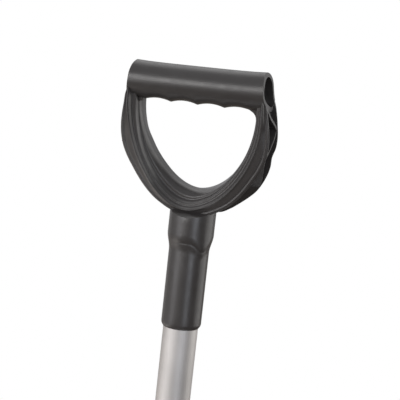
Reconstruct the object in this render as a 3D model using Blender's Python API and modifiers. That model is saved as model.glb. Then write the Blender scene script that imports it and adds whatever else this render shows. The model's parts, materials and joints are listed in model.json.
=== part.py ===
"""Two-handled clamshell post hole digger with a moulded D-grip on each tubular handle.

Metres, +Z up. X is the direction in which the handles spread, Y is front to back and the
user stands at -Y. The blades' noses touch z = 0, below the origin of the hinge that joins
the two halves. The object is drawn in its digging position: handles up, blades apart.
"""
import math

import bmesh
import bpy
from mathutils import Matrix, Vector

# ---- driving dimensions, metres and degrees ----
GAP = 0.0003                    # clearance left between pieces that touch
PIVOT_HEIGHT = 0.300            # hinge axis above the blades' noses
TUBE_RADIUS = 0.015
TUBE_WALL = 0.0015
HANDLE_LEAN = math.radians(6.56)
MOUTH_HEIGHT = 0.774            # grip mouth above the hinge axis

BLADE_RADIUS = 0.080            # outer face of the curved blade, seen from above
BLADE_THICKNESS = 0.0025
BLADE_HALF_ARC = math.radians(60)
BLADE_TOP = 0.025
NOSE_SLOPE = 0.080 / 0.303      # tangent of the angle at which each blade meets the other
BLADE_CORNER = 0.012

YOKE_THICKNESS = 0.005
YOKE_TOP = 0.022
LUG_TOP = 0.027                 # the outer arms stand higher round the stop pin
YOKE_BOTTOM = -0.038
YOKE_BEND = 0.014               # radius of the middle of the bend
OUTER_ARM_Y = 0.050             # middle of the left half's arms
INNER_ARM_Y = 0.043             # middle of the right half's arms
ARM_HALF_HEIGHT = 0.016
ARM_REACH = 0.032               # how far the left arms run past the axis

BOLT_RADIUS = 0.004             # handle bolts
BOLT_HEIGHTS = {"upper": 0.010, "lower": -0.026}
PIVOT_RADIUS = 0.005
BUSH_RADIUS = 0.007
RIVET_RADIUS = 0.003
RIVET_ANGLE = math.radians(22)
RIVET_HEIGHT = -0.008
STOP_RADIUS = 0.003
STOP_X = 0.024
SCREW_RADIUS = 0.002
SCREW_HEIGHT = 0.036            # grip screw above the grip's mouth

BEND_START = 0.045              # the tube bends above this height over the axis
BEND_RADIUS = 0.150
TUBE_BOTTOM = -0.045
TUBE_IN_GRIP = 0.090

# grip, in its own frame: origin at the socket's mouth, +Z up the tube, +X along the bar
SLEEVE_RADIUS = 0.0176
BELL_RADIUS = 0.0196
SLEEVE_TOP = 0.060
BELL_BOTTOM = 0.079
SOCKET_TOP = 0.101
LOOP_HEIGHT = 0.108             # where the loop's plane crosses the tube's axis
LOOP_TILT = math.radians(11.5)  # the loop tips forward from the tube
BAR_CENTRE = 0.099              # heights from here on are measured in the loop's plane
BAR_HALF_HEIGHT = 0.016
BAR_HALF_DEPTH = 0.015
BAR_HALF_LENGTH = 0.060
BORE_HALF_HEIGHT = 0.0125
BORE_HALF_DEPTH = 0.0118
FINGER_PITCH = 0.023
FINGER_DEPTH = 0.0020
OPENING_HALF_WIDTH = 0.0485
OPENING_SPRING = 0.080          # the opening's arms turn into its bowl at this height
OPENING_DROP = 0.0694
OPENING_POWER = 1.84            # 2 would make the bowl a half ellipse
BAR_WAIST = 0.0010              # the bar's top is this much lower at its middle
UNDERSIDE_SHIFT = 0.0055        # the bar's lowest line lies this far back at its ends
FRONT_FACE = -0.0104            # the channel runs from this depth to the back one
BACK_FACE = 0.0108
RIB_THICKNESS = 0.0020
RIB_INSET = 0.0006              # a rib's edge lies this far inside the flanges' edges
RIB_RUN_ON = 0.04               # share of its length by which a rib sinks into each flange

TUBE_X = BLADE_RADIUS - BLADE_THICKNESS - GAP - YOKE_THICKNESS - GAP - TUBE_RADIUS

SLATE = (0.060, 0.058, 0.060)
SATIN_ALUMINIUM = (0.55, 0.53, 0.52)
BLADE_PAINT = (0.035, 0.037, 0.040)
ZINC = (0.52, 0.53, 0.55)
BLACK_PLASTIC = (0.02, 0.02, 0.02)


# ---- helpers ----
def clear_scene():
    for item in list(bpy.data.objects):
        bpy.data.objects.remove(item, do_unlink=True)
    for group in list(bpy.data.collections):
        bpy.data.collections.remove(group)


def collection(name):
    group = bpy.data.collections.new(name)
    bpy.context.scene.collection.children.link(group)
    return group


def material(name, colour, roughness, metallic=0.0):
    made = bpy.data.materials.new(name)
    made.use_nodes = True
    shader = made.node_tree.nodes["Principled BSDF"]
    shader.inputs["Base Color"].default_value = (*colour, 1.0)
    shader.inputs["Roughness"].default_value = roughness
    shader.inputs["Metallic"].default_value = metallic
    return made


def scratch(name, mesh):
    """A work object that is not part of the digger."""
    item = bpy.data.objects.new(name, mesh)
    item.hide_render = True
    item.display_type = "WIRE"
    WORK.objects.link(item)
    return item


def from_bmesh(name, bm):
    bmesh.ops.recalc_face_normals(bm, faces=bm.faces)
    mesh = bpy.data.meshes.new(name)
    bm.to_mesh(mesh)
    bm.free()
    return scratch(name, mesh)


def baked(item):
    """The evaluated mesh of a work object, which is then removed."""
    bpy.context.view_layer.update()
    graph = bpy.context.evaluated_depsgraph_get()
    mesh = bpy.data.meshes.new_from_object(item.evaluated_get(graph))
    mesh.transform(item.matrix_world)
    bpy.data.objects.remove(item, do_unlink=True)
    bm = bmesh.new()
    bm.from_mesh(mesh)
    bmesh.ops.remove_doubles(bm, verts=bm.verts, dist=0.000001)
    bm.to_mesh(mesh)
    bm.free()
    return mesh


def boolean(base, others, operation):
    """Joins, cuts or crops the base with each of the other work objects, one after another."""
    for other in others:
        step = base.modifiers.new(operation.lower(), "BOOLEAN")
        step.operation = operation
        step.solver = "EXACT"
        step.object = other
        base = scratch(base.name, baked(base))
        bpy.data.objects.remove(other, do_unlink=True)
    return base


def rod(start, end, radius, sides=24):
    """A solid cylinder between two points."""
    start = Vector(start)
    along = Vector(end) - start
    turn = along.to_track_quat("Z", "Y").to_matrix().to_4x4()
    place = Matrix.Translation(start + along / 2) @ turn
    bm = bmesh.new()
    bmesh.ops.create_cone(bm, cap_ends=True, segments=sides, radius1=radius, radius2=radius,
                          depth=along.length, matrix=place)
    return from_bmesh("rod", bm)


def box(low, high):
    low, high = Vector(low), Vector(high)
    bm = bmesh.new()
    bmesh.ops.create_cube(bm, size=1.0)
    bmesh.ops.scale(bm, vec=high - low, verts=bm.verts)
    bmesh.ops.translate(bm, vec=(low + high) / 2, verts=bm.verts)
    return from_bmesh("box", bm)


def turned(name, profile, sides=24):
    """A profile of (radius, height) points down the outer side, turned about Z."""
    mesh = bpy.data.meshes.new(name)
    points = [(radius, 0.0, height) for radius, height in profile]
    ring = profile[0][0] > 0 and profile[-1][0] > 0
    edges = [(i, i + 1) for i in range(len(points) - 1)]
    if ring:
        edges.append((len(points) - 1, 0))
    mesh.from_pydata(points, edges, [])
    item = scratch(name, mesh)
    screw = item.modifiers.new("turn", "SCREW")
    screw.steps = sides
    screw.render_steps = sides
    screw.use_merge_vertices = True
    screw.merge_threshold = 0.00001
    return scratch(name, baked(item))


def plate(name, outline, low, high):
    """A closed outline of (x, z) points, as thick as low to high along Y."""
    curve = bpy.data.curves.new(name, "CURVE")
    curve.dimensions = "2D"
    curve.fill_mode = "BOTH"
    curve.extrude = (high - low) / 2
    spline = curve.splines.new("POLY")
    spline.points.add(len(outline) - 1)
    for point, (x, z) in zip(spline.points, outline):
        point.co = (x, z, 0.0, 1.0)
    spline.use_cyclic_u = True
    item = scratch(name, curve)
    item.matrix_world = Matrix.Translation((0, (low + high) / 2, 0)) @ Matrix.Rotation(math.pi / 2, 4, "X")
    return scratch(name, baked(item))


def arc(centre, radius, start, end, steps):
    """Points on a circle from one angle to another, in degrees."""
    turns = [math.radians(start + (end - start) * i / steps) for i in range(steps + 1)]
    return [(centre[0] + radius * math.cos(a), centre[1] + radius * math.sin(a)) for a in turns]


def loft(name, sections):
    """A closed solid through rings of points, all with the same number of points."""
    bm = bmesh.new()
    rings = [[bm.verts.new(point) for point in section] for section in sections]
    count = len(rings[0])
    for one, two in zip(rings, rings[1:]):
        for i in range(count):
            j = (i + 1) % count
            bm.faces.new((one[i], one[j], two[j], two[i]))
    bm.faces.new(reversed(rings[0]))
    bm.faces.new(rings[-1])
    return from_bmesh(name, bm)


def place(name, mesh, parent, look, matrix=None):
    """A finished, named piece of the digger."""
    item = bpy.data.objects.new(name, mesh)
    if not mesh.materials:
        mesh.materials.append(look)
    item.material_slots[0].link = "OBJECT"
    item.material_slots[0].material = look
    mesh.shade_smooth()
    mesh.set_sharp_from_angle(angle=math.radians(35))
    item.parent = parent
    item.matrix_local = matrix or Matrix.Identity(4)
    PARTS.objects.link(item)
    return item


def pivot_empty(name):
    """The frame of one half, on the hinge axis, which runs along Y."""
    empty = bpy.data.objects.new(name, None)
    empty.location = (0, 0, PIVOT_HEIGHT)
    PARTS.objects.link(empty)
    return empty


# ---- grip ----
def socket():
    """The sleeve that takes the tube, its shoulder and the bell under the loop."""
    rise = BELL_BOTTOM - SLEEVE_TOP
    shoulder = []
    steps = 4
    for i in range(steps + 1):
        part = 1 - i / steps
        blend = part * part * (3 - 2 * part)
        radius = SLEEVE_RADIUS + (BELL_RADIUS - SLEEVE_RADIUS) * blend
        shoulder.append((radius, SLEEVE_TOP + rise * part))
    bore = TUBE_RADIUS + GAP
    profile = [(0, SOCKET_TOP), (BELL_RADIUS - 0.004, SOCKET_TOP), (BELL_RADIUS - 0.001, SOCKET_TOP - 0.001),
               (BELL_RADIUS, SOCKET_TOP - 0.004)]
    profile += shoulder
    profile += [(SLEEVE_RADIUS, 0.0014), (SLEEVE_RADIUS - 0.0008, 0), (bore, 0),
                (bore, TUBE_IN_GRIP + GAP), (0, TUBE_IN_GRIP + GAP)]
    return turned("socket", profile, 24)


def loop_point(x, back, up):
    """A point of the tilted loop, in the grip's frame."""
    lean, rise = math.sin(LOOP_TILT), math.cos(LOOP_TILT)
    return (x, back * rise - up * lean, LOOP_HEIGHT + back * lean + up * rise)


def between(value, knots):
    """Smooth interpolation through a few (position, value) knots."""
    for (a, low), (b, high) in zip(knots, knots[1:]):
        if value <= b:
            part = max(0.0, (value - a) / (b - a))
            return low + (high - low) * part * part * (3 - 2 * part)
    return knots[-1][1]


# The loop's outer edges from the bowl's bottom (0 degrees) to the arms' top (90 degrees) and
# up to the middle of the bar (100): half width and height of the front edge and the back one.
STATIONS = (
    (0, (0, -0.0095), (0, -0.0104)),
    (8, (0.0090, -0.0086), (0.0105, -0.0104)),
    (15, (0.0172, -0.0065), (0.0205, -0.0098)),
    (22, (0.0252, -0.0025), (0.0284, -0.0057)),
    (30, (0.0334, 0.0030), (0.0364, 0.0001)),
    (37, (0.0404, 0.0098), (0.0442, 0.0066)),
    (45, (0.0469, 0.0179), (0.0515, 0.0143)),
    (52, (0.0527, 0.0268), (0.0570, 0.0240)),
    (60, (0.0584, 0.0366), (0.0608, 0.0355)),
    (65, (0.0614, 0.0440), (0.0616, 0.0435)),
    (70, (0.0632, 0.0520), (0.0641, 0.0510)),
    (76, (0.0638, 0.0610), (0.0651, 0.0600)),
    (83, (0.0631, 0.0710), (0.0643, 0.0710)),
    (90, (0.0617, 0.0800), (0.0630, 0.0800)),
    (95, (0.0602, 0.0900), (0.0611, 0.0900)),
    (100, (0.0580, 0.0990), (0.0584, 0.0990)),
)
# How far the terraces' edges and the channel's floor lie outside the opening's outline.
INNER_EDGE_REACH = ((0, 0.0057), (20, 0.0050), (45, 0.0040), (65, 0.0027), (100, 0.0018))
MIDDLE_EDGE_REACH = ((0, 0.0112), (20, 0.0102), (40, 0.0080), (60, 0.0058), (80, 0.0038), (100, 0.0030))
RIDGE_REACH = ((0, 0.0142), (20, 0.0136), (45, 0.0108), (70, 0.0088), (100, 0.0078))
FLOOR_REACH = ((0, 0.0145), (40, 0.0112), (100, 0.0085))
BACK_EDGE_REACH = ((0, 0.0018), (20, 0.0015), (45, 0.0012), (60, 0.0009), (80, 0.0026), (100, 0.0025))
TREAD = 0.6                     # share of a terrace's width that faces forward


def opening(size):
    """The opening's outline at an angle from its bottom."""
    if size > 90:
        return Vector((OPENING_HALF_WIDTH, OPENING_SPRING + (BAR_CENTRE - OPENING_SPRING) * (size - 90) / 10))
    turn = math.radians(size)
    across = math.sin(turn) ** (2 / OPENING_POWER)
    down = max(0.0, math.cos(turn)) ** (2 / OPENING_POWER)
    return Vector((OPENING_HALF_WIDTH * across, OPENING_SPRING - OPENING_DROP * down))


def loop_section(side, station):
    """One section of the loop, across its arm or its bowl."""
    angle, front_edge, back_edge = station
    inner = opening(angle)
    front, back = Vector(front_edge) - inner, Vector(back_edge) - inner
    near, middle, ridge, floor, behind = (between(angle, knots) for knots in
                                          (INNER_EDGE_REACH, MIDDLE_EDGE_REACH, RIDGE_REACH, FLOOR_REACH,
                                           BACK_EDGE_REACH))
    to_front, to_back = front.normalized(), back.normalized()
    profile = ((to_back * (behind + 0.0016), 0.0135), (to_back * behind, 0.0126), (to_front * 0.0012, 0.0010),
               (to_front * near, -0.0040), (to_front * (near + TREAD * (middle - near)), -0.0047),
               (to_front * middle, -0.0095), (to_front * (middle + TREAD * (ridge - middle)), -0.0102),
               (to_front * ridge, -0.0138), (to_front * (ridge + 0.0015), -0.0138),
               (front - to_front * 0.0010, -0.0131), (front, -0.0121), (front, FRONT_FACE),
               (to_front * floor, FRONT_FACE + 0.0004), (to_back * floor, BACK_FACE - 0.0004),
               (back, BACK_FACE), (back, 0.0125), (back - to_back * 0.0010, 0.0135))
    return [loop_point(side * (inner + out).x, depth, (inner + out).y) for out, depth in profile]


def loop():
    left = [loop_section(-1, station) for station in reversed(STATIONS[1:])]
    right = [loop_section(1, station) for station in STATIONS]
    return loft("loop", left + right)


def finger_groove(x):
    """Height of the bar's underside above the tips between the fingers."""
    across = (abs(x) / FINGER_PITCH) % 1.0
    if abs(x) >= 2 * FINGER_PITCH:
        return 0.0
    return FINGER_DEPTH * (1 - (2 * across - 1) ** 2)


def bar_section(x, half_depth, half_height, lift):
    """An oval that is waisted along the top and whose underside leans back at the bar's ends."""
    points = []
    sides = 20
    lean = UNDERSIDE_SHIFT * between(abs(x), ((0.040, 0.0), (0.056, 1.0)))
    sag = BAR_WAIST * max(0.0, 1 - (x / BAR_HALF_LENGTH) ** 4)
    for i in range(sides):
        turn = 2 * math.pi * i / sides
        across, up = math.sin(turn), math.cos(turn)
        below = max(0.0, -up)
        points.append(loop_point(x, half_depth * across + lean * below * below,
                                 BAR_CENTRE + half_height * up + lift * below - sag * max(0.0, up)))
    return points


def bar():
    stations = [-BAR_HALF_LENGTH]
    per_finger = 4
    for i in range(-2 * per_finger, 2 * per_finger + 1):
        stations.append(FINGER_PITCH * i / per_finger)
    stations.append(BAR_HALF_LENGTH)
    return loft("bar", [bar_section(x, BAR_HALF_DEPTH, BAR_HALF_HEIGHT, finger_groove(x)) for x in stations])


def end_trimmer(side):
    """Cuts the bar's end at a slight slope, rounded at the top and a little longer behind."""
    outline = [(0.0665, 0.060), (0.0638, 0.074), (0.0608, 0.086), (0.0588, 0.092), (0.0574, 0.100),
               (0.0570, 0.1050), (0.0565, 0.1090), (0.0556, 0.1130),
               (0.0543, 0.1155), (0.0543, 0.130), (0.090, 0.130), (0.090, 0.060)]
    rings = [[loop_point(side * (x + shift), depth, up) for x, up in outline]
             for depth, shift in ((-0.03, -0.0006), (0.03, 0.0014))]
    return loft("trim", rings)


def bar_bore():
    stations = (-0.080, -0.056, -0.048, -0.040, 0.040, 0.048, 0.056, 0.080)
    return loft("bore", [bar_section(x, BORE_HALF_DEPTH, BORE_HALF_HEIGHT, 0.0) for x in stations])


def depth_share(depth):
    """0 at the front flange's inner face and 1 at the back one's."""
    return (depth - FRONT_FACE) / (BACK_FACE - FRONT_FACE)


def mouth_point(angle, depth):
    """A point over the channel's mouth, between the two flanges' edges."""
    for (a, front_a, back_a), (b, front_b, back_b) in zip(STATIONS, STATIONS[1:]):
        if angle <= b:
            part = (angle - a) / (b - a)
            front = Vector(front_a).lerp(Vector(front_b), part)
            back = Vector(back_a).lerp(Vector(back_b), part)
            return front.lerp(back, depth_share(depth))
    return None


def floor_x(up, depth):
    """How far out the channel's floor lies at a height in the loop's plane."""
    last = None
    for angle, front_edge, back_edge in STATIONS[1:]:
        inner = opening(angle)
        edge = Vector(front_edge).lerp(Vector(back_edge), depth_share(depth))
        here = inner + (edge - inner).normalized() * between(angle, FLOOR_REACH)
        if here.y >= up:
            return last.x + (here.x - last.x) * (up - last.y) / (here.y - last.y)
        last = here
    return last.x


def rib(side, near, far):
    """A web from one flange to the other; it runs straight in along X from the channel's mouth."""
    path = []
    steps = 5
    for i in range(steps + 1):
        share = (i / steps) * (1 + 2 * RIB_RUN_ON) - RIB_RUN_ON
        depth = near[1] + (far[1] - near[1]) * share
        out = mouth_point(near[0] + (far[0] - near[0]) * share, depth)
        path.append((out.x - RIB_INSET, floor_x(out.y, depth) - 0.0014, depth, out.y))
    rings = []
    for i, (outer, inner, depth, up) in enumerate(path):
        one, two = path[max(i - 1, 0)], path[min(i + 1, steps)]
        along = Vector((two[2] - one[2], two[3] - one[3])).normalized() * RIB_THICKNESS / 2
        rings.append([loop_point(side * x, depth + way * along.y, up - way * along.x)
                      for x, way in ((inner, -1), (outer, -1), (outer, 1), (inner, 1))])
    return loft("rib", rings)


def zigzag():
    """The braces of both arms' channels, alternating from the front flange to the back one."""
    nodes = ((95, FRONT_FACE), (80.5, BACK_FACE), (67, FRONT_FACE), (48.5, BACK_FACE))
    return [rib(side, a, b) for side in (-1, 1) for a, b in zip(nodes, nodes[1:])]


def grip_mesh():
    body = boolean(loop(), [socket(), bar()] + zigzag(), "UNION")
    screw_hole = rod((0, 0.010, SCREW_HEIGHT), (0, 0.030, SCREW_HEIGHT), SCREW_RADIUS + GAP, 10)
    return baked(boolean(body, [bar_bore(), end_trimmer(-1), end_trimmer(1), screw_hole], "DIFFERENCE"))


def grip_screw_mesh():
    profile = [(0, 0.0022), (0.0020, 0.0021), (0.0034, 0.0014), (0.0040, 0.0003), (0.0040, 0),
               (SCREW_RADIUS, 0), (SCREW_RADIUS, -0.0070), (0.0008, -0.0085), (0, -0.0085)]
    screw = turned("screw", profile, 16)
    slots = [box((-0.0018, -0.0004, 0.0010), (0.0018, 0.0004, 0.0030)),
             box((-0.0004, -0.0018, 0.0010), (0.0004, 0.0018, 0.0030))]
    return baked(boolean(screw, slots, "DIFFERENCE"))


# ---- handle tube ----
def handle_line(side):
    """Points of the tube's axis, from its lower end to inside the grip, and the grip's frame."""
    points = [Vector((side * TUBE_X, 0, TUBE_BOTTOM)), Vector((side * TUBE_X, 0, BEND_START))]
    steps = 3
    for i in range(1, steps + 1):
        turn = HANDLE_LEAN * i / steps
        points.append(Vector((side * (TUBE_X + BEND_RADIUS * (1 - math.cos(turn))), 0,
                              BEND_START + BEND_RADIUS * math.sin(turn))))
    along = Vector((side * math.sin(HANDLE_LEAN), 0, math.cos(HANDLE_LEAN)))
    mouth = points[-1] + along * ((MOUTH_HEIGHT - points[-1].z) / along.z)
    points.append(mouth + along * TUBE_IN_GRIP)
    frame = Matrix.Translation(mouth) @ Matrix.Rotation(side * HANDLE_LEAN, 4, "Y")
    return points, frame


def tube_mesh(side):
    points, frame = handle_line(side)
    curve = bpy.data.curves.new("tube", "CURVE")
    curve.dimensions = "3D"
    curve.bevel_depth = TUBE_RADIUS
    curve.bevel_resolution = 6
    spline = curve.splines.new("POLY")
    spline.points.add(len(points) - 1)
    for target, point in zip(spline.points, points):
        target.co = (*point, 1.0)
    skin = scratch("tube", baked(scratch("tube", curve)))
    wall = skin.modifiers.new("wall", "SOLIDIFY")
    wall.thickness = TUBE_WALL
    wall.offset = -1.0
    tube = scratch("tube", baked(skin))
    holes = []
    for height in BOLT_HEIGHTS.values():
        reach = (side * 0.030, side * 0.085)
        holes.append(rod((reach[0], 0, height), (reach[1], 0, height), BOLT_RADIUS + GAP, 12))
    screw_hole = rod((0, 0.005, SCREW_HEIGHT), (0, 0.025, SCREW_HEIGHT), SCREW_RADIUS + GAP, 10)
    screw_hole.matrix_world = frame
    holes.append(screw_hole)
    return baked(boolean(tube, holes, "DIFFERENCE"))


def tube_plug_mesh():
    inner = TUBE_RADIUS - TUBE_WALL - GAP
    profile = [(0, 0.0100), (inner - 0.0010, 0.0100), (inner, 0.0085), (inner, -GAP), (TUBE_RADIUS, -GAP),
               (TUBE_RADIUS, -0.0020), (TUBE_RADIUS - 0.0012, -0.0030), (0, -0.0030)]
    return baked(turned("plug", profile, 20))


# ---- blade and yoke ----
def blade_mesh(side):
    """A curved plate, cut below where it meets the other blade when the digger closes."""
    bm = bmesh.new()
    columns = 20
    rings = []
    for height in (BLADE_TOP, -PIVOT_HEIGHT):
        ring = []
        for i in range(columns + 1):
            turn = BLADE_HALF_ARC * (2 * i / columns - 1)
            ring.append(bm.verts.new((side * BLADE_RADIUS * math.cos(turn), BLADE_RADIUS * math.sin(turn), height)))
        rings.append(ring)
    for i in range(columns):
        corners = (rings[0][i], rings[0][i + 1], rings[1][i + 1], rings[1][i])
        bm.faces.new(corners if side < 0 else tuple(reversed(corners)))
    mesh = bpy.data.meshes.new("blade")
    bm.to_mesh(mesh)
    bm.free()
    sheet = scratch("blade", mesh)
    steel = sheet.modifiers.new("steel", "SOLIDIFY")
    steel.thickness = BLADE_THICKNESS
    steel.offset = -1.0
    blade = scratch("blade", baked(sheet))
    depth = PIVOT_HEIGHT + 0.05
    wedge = [(-0.150, 0.0), (0.0, 0.0), (depth * NOSE_SLOPE, -depth), (-0.150, -depth)]
    cuts = [plate("closing_plane", [(side * x, z) for x, z in wedge], -0.1, 0.1)]
    reach = BLADE_RADIUS * math.sin(BLADE_HALF_ARC)
    cuts += [corner_cutter(side, edge, reach) for edge in (-1, 1)]
    cuts += bolt_holes(side) + rivet_holes(side)
    return baked(boolean(blade, cuts, "DIFFERENCE"))


def corner_cutter(side, edge, reach):
    """A slanted block that takes off the blade's upper corner."""
    outline = [(edge * (reach - BLADE_CORNER), BLADE_TOP + 0.002), (edge * (reach + 0.010), BLADE_TOP + 0.002),
               (edge * (reach + 0.010), BLADE_TOP - BLADE_CORNER * 2.2)]
    rings = [[(side * x, y, z) for y, z in outline] for x in (0.020, 0.075)]
    return loft("corner", rings)


def bolt_holes(side):
    radius = BOLT_RADIUS + GAP
    return [rod((side * 0.060, 0, height), (side * 0.090, 0, height), radius, 12)
            for height in BOLT_HEIGHTS.values()]


def rivet_line(side, edge, radius):
    """A point on a rivet's axis at a distance from the digger's middle."""
    turn = edge * RIVET_ANGLE
    return Vector((side * radius * math.cos(turn), radius * math.sin(turn), RIVET_HEIGHT))


def rivet_holes(side):
    return [rod(rivet_line(side, edge, 0.065), rivet_line(side, edge, 0.090), RIVET_RADIUS + GAP, 12)
            for edge in (-1, 1)]


def yoke_path(arm_y, reach):
    """The middle line of a yoke seen from above, for the half at +X, from one arm's end to the other's."""
    base = BLADE_RADIUS - BLADE_THICKNESS - GAP - YOKE_THICKNESS / 2
    centre_y = arm_y - YOKE_BEND
    centre_x = math.sqrt((base - YOKE_BEND) ** 2 - centre_y ** 2)
    spread = math.degrees(math.atan2(centre_y, centre_x))
    path = [(-reach, -arm_y)]
    path += arc((centre_x, -centre_y), YOKE_BEND, -90, -spread, 4)
    path += arc((0, 0), base, -spread, spread, 10)[1:]
    path += arc((centre_x, centre_y), YOKE_BEND, spread, 90, 4)[1:]
    path.append((-reach, arm_y))
    return path


def yoke_mesh(side, arm_y, reach, crop, pivot_hole):
    bm = bmesh.new()
    path = yoke_path(arm_y, reach)
    rows = [[bm.verts.new((side * x, y, height)) for x, y in path] for height in (LUG_TOP, YOKE_BOTTOM)]
    for i in range(len(path) - 1):
        bm.faces.new((rows[0][i], rows[0][i + 1], rows[1][i + 1], rows[1][i]))
    mesh = bpy.data.meshes.new("yoke")
    bm.to_mesh(mesh)
    bm.free()
    sheet = scratch("yoke", mesh)
    steel = sheet.modifiers.new("steel", "SOLIDIFY")
    steel.thickness = YOKE_THICKNESS
    steel.offset = 0.0
    steel.use_even_offset = True
    solid = scratch("yoke", baked(sheet))
    bm = bmesh.new()
    bm.from_mesh(solid.data)
    bmesh.ops.recalc_face_normals(bm, faces=bm.faces)
    bm.to_mesh(solid.data)
    bm.free()
    cropped = boolean(solid, [plate("crop", [(side * x, z) for x, z in crop], -0.07, 0.07)], "INTERSECT")
    holes = bolt_holes(side) + rivet_holes(side)
    holes.append(rod((0, -0.07, 0), (0, 0.07, 0), pivot_hole + GAP, 24))
    if side < 0:
        stop_z = ARM_HALF_HEIGHT + GAP + STOP_RADIUS
        holes.append(rod((STOP_X, -0.07, stop_z), (STOP_X, 0.07, stop_z), STOP_RADIUS + GAP, 12))
    return baked(boolean(cropped, holes, "DIFFERENCE"))


def right_crop():
    """Side view of the inner yoke: tall at the handle, narrow and round at the pivot."""
    outline = [(0.090, YOKE_BOTTOM), (0.090, YOKE_TOP), (0.046, YOKE_TOP), (0.034, ARM_HALF_HEIGHT)]
    outline += arc((0, 0), ARM_HALF_HEIGHT, 90, 270, 16)
    outline += [(0.026, -ARM_HALF_HEIGHT), (0.046, YOKE_BOTTOM)]
    return outline


def left_crop():
    """Side view of the outer yoke for the half at +X before mirroring, with its stop lug."""
    corner = 0.008
    outline = [(0.090, YOKE_BOTTOM), (0.090, YOKE_TOP), (0.046, YOKE_TOP), (0.030, ARM_HALF_HEIGHT + 0.002),
               (-STOP_X + 0.020, ARM_HALF_HEIGHT + 0.002), (-STOP_X + 0.010, LUG_TOP)]
    outline += arc((-ARM_REACH + corner, LUG_TOP - corner), corner, 90, 180, 5)
    outline += arc((-ARM_REACH + corner, -ARM_HALF_HEIGHT + corner), corner, 180, 270, 5)
    outline += [(0.026, -ARM_HALF_HEIGHT - 0.002), (0.046, YOKE_BOTTOM)]
    return outline


# ---- fasteners ----
def hex_head(across_flats, low, high):
    radius = across_flats / 2 / math.cos(math.pi / 6)
    return rod((0, 0, low), (0, 0, high), radius, 6)


def bolt_mesh(radius, grip, across_flats, head):
    """A hexagon-headed bolt: the head stands on z = 0 and the shank runs down."""
    shank = [(0, head / 2), (radius, head / 2), (radius, -grip + 0.001), (radius - 0.001, -grip), (0, -grip)]
    return baked(boolean(hex_head(across_flats, 0, head), [turned("shank", shank, 12)], "UNION"))


def nut_mesh(radius, across_flats, height, collar):
    """A hexagon nut on z = 0 with a round collar above it."""
    neck = rod((0, 0, height - collar - 0.001), (0, 0, height), across_flats / 2 - 0.0006, 18)
    nut = boolean(hex_head(across_flats, 0, height - collar), [neck], "UNION")
    hole = rod((0, 0, -0.01), (0, 0, height + 0.01), radius + GAP, 18)
    return baked(boolean(nut, [hole], "DIFFERENCE"))


def washer_mesh(inner, outer, thickness):
    """A flat ring from z = 0 up."""
    profile = [(outer, thickness), (outer, 0), (inner, 0), (inner, thickness)]
    return baked(turned("washer", profile, 20))


def saddle_mesh():
    """A washer that is flat under the nut and hollow against the tube."""
    thickness = 0.0045
    blank = turned("saddle", [(0.0090, thickness), (0.0090, 0), (BOLT_RADIUS + GAP, 0),
                              (BOLT_RADIUS + GAP, thickness)], 20)
    depth = 0.0015
    hollow = rod((0, -0.03, depth - TUBE_RADIUS), (0, 0.03, depth - TUBE_RADIUS), TUBE_RADIUS + GAP, 32)
    return baked(boolean(blank, [hollow], "DIFFERENCE"))


def rivet_mesh():
    """A rivet through blade and yoke: its domed head stands outside, on z = 0."""
    hollow = 0.0003             # the yoke's inner face curves towards the rivet's tail
    through = BLADE_THICKNESS + GAP + YOKE_THICKNESS + hollow
    profile = [(0, 0.0024), (0.0030, 0.0021), (0.0050, 0.0010), (0.0056, GAP), (RIVET_RADIUS, GAP),
               (RIVET_RADIUS, -through - GAP), (0.0048, -through - GAP), (0.0042, -through - 0.0014),
               (0.0022, -through - 0.0020), (0, -through - 0.0020)]
    return baked(turned("rivet", profile, 12))


def stop_pin_mesh(inner_y):
    """A pin across the outer arm; its end stands over the inner arm's upper edge. z = 0 is outside."""
    length = OUTER_ARM_Y + YOKE_THICKNESS / 2 - inner_y
    profile = [(0, 0.0025), (0.0038, 0.0019), (0.0052, GAP), (STOP_RADIUS, GAP), (STOP_RADIUS, -length + 0.0006),
               (STOP_RADIUS - 0.0006, -length), (0, -length)]
    return baked(turned("stop_pin", profile, 12))


def facing(direction, position):
    """A frame whose +Z points in a direction."""
    turn = Vector(direction).to_track_quat("Z", "Y").to_matrix().to_4x4()
    return Matrix.Translation(position) @ turn


# ---- assembly ----
def add_grips(halves, look, screw_look):
    grip, screw = grip_mesh(), grip_screw_mesh()
    for name, side in SIDES:
        _, frame = handle_line(side)
        place("grip_" + name, grip, halves[name], look, frame)
        seat = frame @ facing((0, 1, 0), (0, SLEEVE_RADIUS + GAP, SCREW_HEIGHT))
        place("grip_screw_" + name, screw, halves[name], screw_look, seat)


def add_tubes(halves, look, plug_look):
    plug = tube_plug_mesh()
    for name, side in SIDES:
        place("handle_tube_" + name, tube_mesh(side), halves[name], look)
        end = Matrix.Translation((side * TUBE_X, 0, TUBE_BOTTOM))
        place("tube_plug_" + name, plug, halves[name], plug_look, end)


def add_blades_and_yokes(halves, look, yoke_look):
    for name, side in SIDES:
        place("blade_" + name, blade_mesh(side), halves[name], look)
    right = yoke_mesh(1, INNER_ARM_Y, ARM_HALF_HEIGHT + 0.004, right_crop(), BUSH_RADIUS)
    left = yoke_mesh(-1, OUTER_ARM_Y, ARM_REACH + 0.004, left_crop(), PIVOT_RADIUS)
    place("yoke_right", right, halves["right"], yoke_look)
    place("yoke_left", left, halves["left"], yoke_look)


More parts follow.
